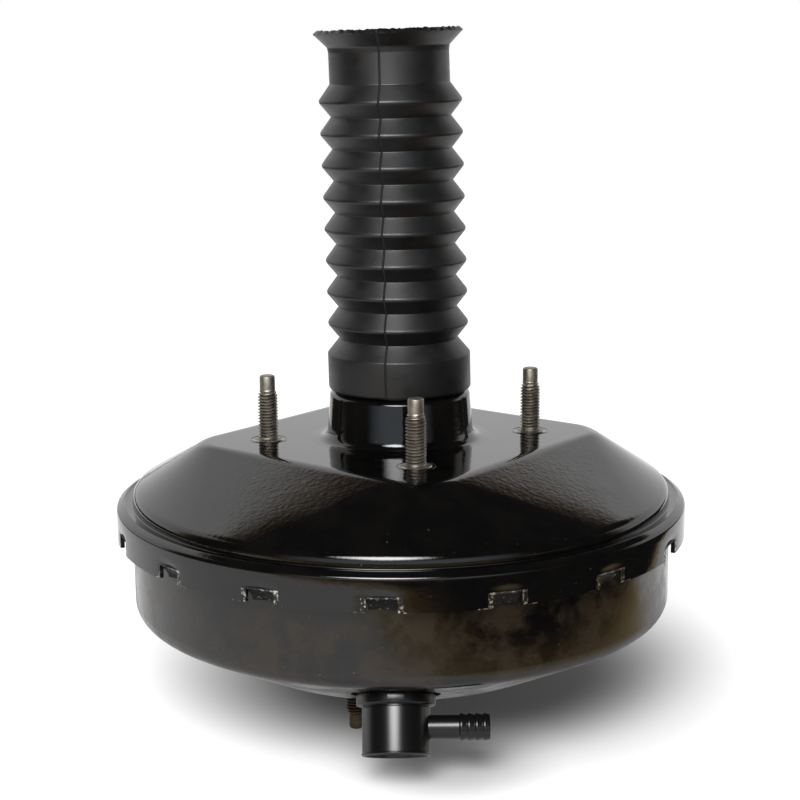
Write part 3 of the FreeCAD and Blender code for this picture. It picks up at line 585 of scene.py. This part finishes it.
# The tabs are cut free on three sides and bent in under the front shell's flange, each with a crease.
# The sheet round each window is dented a little.
def bendTabs(piece):
    r = rearShell
    window = (r["tabHalf"] + 0.1) * 360 / r["columns"]
    deselectAll()
    bpy.context.view_layer.objects.active = piece
    bpy.ops.object.mode_set(mode="EDIT")
    bpy.ops.mesh.select_mode(type="FACE")
    bpy.ops.mesh.select_all(action="DESELECT")
    bpy.ops.object.mode_set(mode="OBJECT")
    for face in piece.data.polygons:
        corners = [piece.data.vertices[i] for i in face.vertices]
        low = max(corner.co.z for corner in corners) < (r["tabTop"] + 0.01) * mm
        face.select = low and max(abs(columnOffset(corner.co)) for corner in corners) < window
    bpy.ops.object.mode_set(mode="EDIT")
    bpy.ops.mesh.split()
    bpy.ops.object.mode_set(mode="OBJECT")
    for vertex in piece.data.vertices:
        below = r["tabTop"] - vertex.co.z / mm
        off = columnOffset(vertex.co)
        radius = vertex.co.xy.length / mm
        if vertex.select:
            bent = math.sin(math.pi / 2 * clamp(below / r["tabTall"])) ** 1.3
            share = 1 - abs(off) / window
            push = bent * (r["tabPush"] + r["crease"] * share)
            angle = math.degrees(math.atan2(vertex.co.y, vertex.co.x)) - off * r["tabTaper"] * bent
            vertex.co.xy = around((radius - push) * mm, angle).xy
        elif below > -r["dentAbove"]:
            depth = clamp((below + r["dentAbove"]) / r["dentAbove"])
            push = r["dent"] * math.exp(-(off / r["dentWide"]) ** 2) * depth * depth * (3 - 2 * depth)
            vertex.co.xy *= (radius - push) / radius
    mendMesh(piece)


# The tabs get a dull coat that stands in for the shade in their pockets, with chips; chips also lie beside
# their windows and on the skirt's lower edge near them.
def markChips(piece):
    r = rearShell
    column = 360 / r["columns"]
    for face in piece.data.polygons:
        if face.center.z > r["tabTop"] * mm:
            continue
        off = abs(columnOffset(face.center))
        if face.center.xy.length / mm < r["skirtRadius"] - 0.5:
            face.material_index = 2
        elif off < (r["tabHalf"] + 0.6) * column:
            face.material_index = 1
        elif off < (r["tabHalf"] + r["chipsReach"]) * column and face.center.z < r["chipsTop"] * mm:
            face.material_index = 1


def makeRearShell():
    r = rearShell
    columns = r["columns"]
    first = r["firstTab"] - 180 / r["tabs"]
    rows = [levelRow(point.x, point.y, columns, first) for point in bentSection(r["neck"], 5)]
    slopes = [slopePoints(first + 360 * column / columns) for column in range(columns + 1)]
    rows += [[slope[i] for slope in slopes] for i in range(len(slopes[0]))]
    rows += [levelRow(point.x, point.y, columns, first) for point in bentSection(r["crown"], 4)]
    rows += [levelRow(r["skirtRadius"], height, columns, first) for height in r["skirtRows"]]
    piece = wrapGrid("rearShell", rows)
    bendTabs(piece)
    for slot in ("shell_enamel", "sheared_edge", "tab_chips"):
        piece.data.materials.append(materials[slot])
    markChips(piece)
    addWall(piece, r["wall"], edgeSlot=1)
    smooth(piece, r["sharpAngle"])
    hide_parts("rear_shell")
    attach(piece, "housing")


makeRearShell()
print("rear shell made")

# Check valve: moulded cap and cup on an axis square to the cone, with a barbed tube for the hose.
valve = {
    "spot": (-2.4, -86.0, -77.975), "tilt": 153.1, "steps": 96,
    "cap": [(4.2, -13.5), (5.6, -13.5), (7.3, -10.3), (6.6, -10.3), (6.6, -0.5), (14.5, -0.5, 0.5),
            (14.5, 3.7, 0.5), (13.0, 3.7, 0.2), (13.0, 4.0), (4.2, 4.0)],
    "cup": [(0, 19.5), (10.2, 19.5), (10.2, 4.0), (12.0, 4.0), (12.0, 4.6, 0.2), (12.4, 4.6, 0.2),
            (12.4, 20.6, 0.2), (12.65, 20.9, 0.2), (12.65, 21.3, 0.3), (12.2, 21.7, 0.3), (11.6, 21.7),
            (11.3, 20.3), (0, 20.3)],
    "tubeRadius": 4.4, "crestRadius": 4.95, "boreRadius": 2.9, "tubeHeight": 11.4, "barbStart": 22.8,
    "barbEnd": 34.1, "barbs": 4, "plate": (6.6, 1.4, 2.9), "plateAt": (0, 14.4, 1.6),
    "dimpleRadius": 0.75, "dimpleAngle": 10.5, "dimpleAt": (0, 14.5, 1.6),
}


def atValve():
    turn = Matrix.Rotation(math.radians(valve["tilt"]), 4, "X")
    return Matrix.Translation(Vector(valve["spot"]) * mm) @ turn


def barbSection():
    v = valve
    step = (v["barbEnd"] - v["barbStart"]) / v["barbs"]
    corners = [(v["boreRadius"], 10.4), (v["tubeRadius"], 10.4), (v["tubeRadius"], v["barbStart"], 0.2)]
    for i in range(v["barbs"]):
        low = v["barbStart"] + step * i
        corners += [(v["crestRadius"], low + 0.5, 0.25), (v["crestRadius"], low + 1.0, 0.3),
                    (v["tubeRadius"] + 0.05, low + step, 0.2)]
    corners[-1] = (v["tubeRadius"] + 0.2, v["barbEnd"], 0.25)
    return corners + [(v["boreRadius"], v["barbEnd"], 0.2), (v["boreRadius"], 10.4)]


def finishValvePiece(piece, node):
    placePiece(piece, atValve())
    piece.data.materials.append(materials["black_nylon"])
    smooth(piece, 40)
    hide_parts(node)
    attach(piece, "vacuum_valve")


def joinPieces(pieces, name):
    deselectAll()
    for piece in pieces:
        piece.select_set(True)
    bpy.context.view_layer.objects.active = pieces[0]
    bpy.ops.object.join()
    pieces[0].name = name
    return pieces[0]


# A small moulded plate on the front of the flange, with a round dimple at each side.
def flangePlate():
    deselectAll()
    bpy.ops.mesh.primitive_cube_add(size=1)
    plate = bpy.context.object
    size = Vector(valve["plate"]) * mm
    plate.data.transform(Matrix.Translation(Vector(valve["plateAt"]) * mm) @ Matrix.Diagonal(size.to_4d()))
    bevel = plate.modifiers.new("edges", "BEVEL")
    bevel.width = 0.3 * mm
    bevel.segments = 3
    applyModifiers(plate)
    return plate


def flangeDimples():
    dimples = []
    for side in (-1, 1):
        deselectAll()
        bpy.ops.mesh.primitive_uv_sphere_add(segments=20, ring_count=10, radius=valve["dimpleRadius"] * mm)
        dimple = bpy.context.object
        placePiece(dimple, Matrix.Rotation(math.radians(-valve["dimpleAngle"] * side), 4, "Z")
                   @ Matrix.Translation(Vector(valve["dimpleAt"]) * mm) @ Matrix.Diagonal((1, 0.6, 1, 1)))
        dimples.append(dimple)
    return dimples


def closedRing(corners):
    return bentSection(corners + corners[:1] if corners[0] != corners[-1] else corners, 5)


def makeCheckValve():
    v = valve
    cap = spinSection("valveCap", closedRing(v["cap"]), v["steps"])
    finishValvePiece(joinPieces([cap, flangePlate()] + flangeDimples(), "valveCap"), "check_valve_cap")
    cup = spinSection("valveCup", bentSection(v["cup"], 5), v["steps"])
    tube = spinSection("hoseBarb", closedRing(barbSection()), 64)
    placePiece(tube, Matrix.Translation((0, 0, v["tubeHeight"] * mm)) @ Matrix.Rotation(math.pi / 2, 4, "Y"))
    finishValvePiece(joinPieces([cup, tube], "valveCup"), "check_valve_housing")


makeCheckValve()
print("check valve made")

# Coil springs, copied from the frame as they stand. Each names the two pieces that it pushes apart, the low
# end first, and its tilt.
springs = {
    "return_spring": {"name": "returnSpring", "bodies": ("housing", "power_piston"), "tilt": 0.0},
    "rod_spring": {"name": "rodSpring", "bodies": ("power_piston", "plunger"), "tilt": 0.0},
    "check_valve_spring": {"name": "checkValveSpring", "bodies": ("valve_disc", "vacuum_valve"),
                           "tilt": valve["tilt"]},
}


def makeSpring(node):
    s = springs[node]
    mesh = frame["nodes"][node].data.copy()
    mesh.transform(frame["nodes"][node].matrix_world)
    piece = bpy.data.objects.new(s["name"], mesh)
    bpy.context.collection.objects.link(piece)
    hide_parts(node)
    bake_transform(piece)


for node in springs:
    makeSpring(node)
print("springs made")

# Camera from the photograph: 80 mm lens, 0.7 m away, looking 11.8 degrees down, tilted by half a degree.
# The two angles are in radians.
view = {"away": 698.56, "up": 159.82, "down": 0.205238, "tilt": 0.008470, "lens": 79.895}


def makeCamera():
    forward = Vector((0, math.cos(view["down"]), -math.sin(view["down"])))
    level = Vector((1, 0, 0))
    above = Vector((0, math.sin(view["down"]), math.cos(view["down"])))
    right = level * math.cos(view["tilt"]) - above * math.sin(view["tilt"])
    top = level * math.sin(view["tilt"]) + above * math.cos(view["tilt"])
    bpy.ops.object.camera_add()
    camera = bpy.context.object
    camera.data.lens = view["lens"]
    camera.data.sensor_width = 36
    camera.data.clip_start = 0.01
    turn = Matrix((right, top, -forward)).transposed().to_4x4()
    camera.matrix_world = Matrix.Translation((0, -view["away"] * mm, view["up"] * mm)) @ turn
    bpy.context.scene.camera = camera


makeCamera()
print("camera placed")

# White paper under and behind the part. Its brown edges, the table past them and the dark room show only in
# the enamel. Each pair of distances says where a change of brightness starts and ends.
studio = {
    "floor": -110.4, "floorSize": 6000.0,
    "slant": {"out": (0.80, -0.60, 0.0), "from": 125.0, "to": 265.0},
    "front": {"out": (0, -1, 0), "from": 365.0, "to": 570.0},
    "left": {"out": (-1, 0, 0), "from": 540.0, "to": 640.0},
    "right": {"out": (1, -0.5, 0), "from": 269.0, "to": 298.0},
    "behindFrom": 0.0, "behindTo": 45.0, "tableFrom": 500.0, "tableTo": 640.0, "tableTone": 0.3,
    "shadeCentre": (20.0, 30.0, 0.0), "mirroredShade": (70.0, 220.0), "nearShade": (55.0, 150.0),
    "farShade": (130.0, 400.0), "valveShadeCentre": (16.0, -70.0, 0.0), "valveShade": (10.0, 50.0),
    "boxAt": (-120.0, -860.0, 620.0), "boxWide": 830.0, "boxTall": 700.0, "boxStrength": 16.0,
}


# Painted shadow on the paper: brightness that grows with the distance from a centre.
def shadeNode(tree, place, centre, reach, start, end):
    away = addNode(tree, "ShaderNodeVectorMath", settings={"operation": "DISTANCE"},
                   values={1: Vector(studio[centre]) * mm}, links={0: place}).outputs["Value"]
    return rangeNode(tree, away, studio[reach][0] * mm, studio[reach][1] * mm, start, end)


# 1 on the paper, 0 in the dark room, between them on the paper's edges and the table.
def paperShare(tree, place):
    parts = addNode(tree, "ShaderNodeSeparateXYZ", links={0: place})
    behind = rangeNode(tree, parts.outputs["Y"], studio["behindFrom"] * mm, studio["behindTo"] * mm)
    inside = {}
    for name in ("slant", "front", "left", "right"):
        edge = studio[name]
        inside[name] = rangeNode(tree, dotNode(tree, place, edge["out"]), edge["from"] * mm, edge["to"] * mm,
                                 1.0, 0.0, "LINEAR")
    share = mathNode(tree, "MAXIMUM", inside["slant"], behind)
    for name in ("front", "left", "right"):
        share = mathNode(tree, "MINIMUM", share, inside[name])
    table = rangeNode(tree, parts.outputs["Y"], -studio["tableFrom"] * mm, -studio["tableTo"] * mm, 0.0,
                      studio["tableTone"])
    return mathNode(tree, "MAXIMUM", share, table)


def stageMaterial():
    material, tree = newMaterial("whitePaperSweep")
    place = addNode(tree, "ShaderNodeTexCoord").outputs["Object"]
    path = addNode(tree, "ShaderNodeLightPath")
    tone = addRamp(tree, paperShare(tree, place), [(0.0, grey(0.03)), (0.22, (0.26, 0.16, 0.07, 1)),
                                                   (0.5, (0.58, 0.43, 0.22, 1)), (0.8, (0.80, 0.68, 0.47, 1)),
                                                   (0.97, grey(1.0))])
    # The paper is painted darker round the part and the valve, a painted shadow, both where the camera sees
    # it and where the enamel mirrors it.
    shaded = shadeNode(tree, place, "shadeCentre", "mirroredShade", 0.35, 1.05)
    mirrored = addNode(tree, "ShaderNodeEmission", links={"Color": tone.outputs["Color"], "Strength": shaded})
    near = mathNode(tree, "MULTIPLY", shadeNode(tree, place, "shadeCentre", "nearShade", 0.03, 0.8),
                    shadeNode(tree, place, "valveShadeCentre", "valveShade", 0.25, 1.0))
    far = shadeNode(tree, place, "shadeCentre", "farShade", 0.0, 0.2)
    glow = addNode(tree, "ShaderNodeEmission", values={"Color": grey(1.0)},
                   links={"Strength": mathNode(tree, "ADD", near, far)})
    matt = addNode(tree, "ShaderNodeBsdfDiffuse", values={"Color": grey(0.55)})
    lit = addNode(tree, "ShaderNodeAddShader", links={0: matt.outputs[0], 1: glow.outputs[0]})
    seen = addNode(tree, "ShaderNodeMixShader",
                   links={0: path.outputs["Is Camera Ray"], 1: matt.outputs[0], 2: lit.outputs[0]})
    mix = addNode(tree, "ShaderNodeMixShader",
                  links={0: path.outputs["Is Glossy Ray"], 1: seen.outputs[0], 2: mirrored.outputs[0]})
    finishMaterial(tree, mix)
    return material


def makeStage():
    deselectAll()
    bpy.ops.mesh.primitive_plane_add(size=studio["floorSize"] * mm, location=(0, 0, studio["floor"] * mm))
    floor = bpy.context.object
    floor.name = "studioFloor"
    floor.data.materials.append(stageMaterial())


# A large softbox: its cloth is brightest in the middle and fades towards its edges.
def makeLight(name, place, wide, tall, strength):
    place = Vector(place) * mm
    bpy.ops.object.light_add(type="AREA", location=place)
    lamp = bpy.context.object
    lamp.name = name
    lamp.data.shape = "ELLIPSE"
    lamp.data.size = wide * mm
    lamp.data.size_y = tall * mm
    lamp.data.energy = strength * math.pi * wide * mm * tall * mm  # watts for this radiance
    lamp.rotation_euler = (-place).to_track_quat("-Z", "Y").to_euler()
    lamp.data.use_nodes = True
    tree = lamp.data.node_tree
    cloth = addNode(tree, "ShaderNodeNewGeometry").outputs["Parametric"]
    fromMiddle = addNode(tree, "ShaderNodeVectorMath", settings={"operation": "DISTANCE"},
                         values={1: (0.5, 0.5, 0.0)}, links={0: cloth}).outputs["Value"]
    for node in tree.nodes:
        if node.type == "EMISSION":
            tree.links.new(rangeNode(tree, fromMiddle, 0.12, 0.5, 1.0, 0.0), node.inputs["Strength"])


# White backdrop up to about 37 degrees behind the part, a brown edge above it, a dark ceiling, and soft
# daylight low behind the camera.
def makeWorld():
    world = bpy.data.worlds.new("studioRoom")
    bpy.context.scene.world = world
    world.use_nodes = True
    tree = world.node_tree
    tree.nodes.clear()
    place = addNode(tree, "ShaderNodeTexCoord").outputs["Generated"]
    parts = addNode(tree, "ShaderNodeSeparateXYZ", links={0: place})
    lean = addNode(tree, "ShaderNodeMath", settings={"operation": "MULTIPLY"}, values={1: 0.19},
                   links={0: parts.outputs["X"]}).outputs["Value"]
    rise = mathNode(tree, "ADD", parts.outputs["Z"], lean)
    low = rangeNode(tree, rise, 0.606, 0.658, 1.0, 0.0, "LINEAR")
    behind = rangeNode(tree, parts.outputs["Y"], 0.0, 0.35)
    tone = addRamp(tree, mathNode(tree, "MULTIPLY", low, behind),
                   [(0.0, grey(0.03)), (0.25, (0.12, 0.08, 0.045, 1)), (0.5, (0.30, 0.22, 0.15, 1)),
                    (0.68, (0.55, 0.50, 0.45, 1)), (0.95, grey(1.0))])
    path = addNode(tree, "ShaderNodeLightPath")
    window = mathNode(tree, "MULTIPLY", rangeNode(tree, parts.outputs["Y"], -0.55, -0.95),
                      rangeNode(tree, parts.outputs["Z"], 0.25, 0.5, 1.0, 0.0))
    daylight = addNode(tree, "ShaderNodeMixRGB", values={"Color2": (0.80, 0.90, 1.0, 1)},
                       links={"Fac": window, "Color1": tone.outputs["Color"]})
    mirrored = addNode(tree, "ShaderNodeBackground", links={"Color": daylight.outputs["Color"]})
    fill = addNode(tree, "ShaderNodeBackground", values={"Color": grey(1.0), "Strength": 0.2})
    backdrop = addNode(tree, "ShaderNodeBackground", values={"Color": grey(1.0), "Strength": 1.0})
    gloss = addNode(tree, "ShaderNodeMixShader",
                    links={0: path.outputs["Is Glossy Ray"], 1: fill.outputs[0], 2: mirrored.outputs[0]})
    light = addNode(tree, "ShaderNodeMixShader",
                    links={0: path.outputs["Is Camera Ray"], 1: gloss.outputs[0], 2: backdrop.outputs[0]})
    addNode(tree, "ShaderNodeOutputWorld", links={"Surface": light.outputs[0]})


makeStage()
makeWorld()
makeLight("softboxOverCamera", studio["boxAt"], studio["boxWide"], studio["boxTall"], studio["boxStrength"])
bpy.context.scene.view_settings.view_transform = "Standard"
print("stage lit")
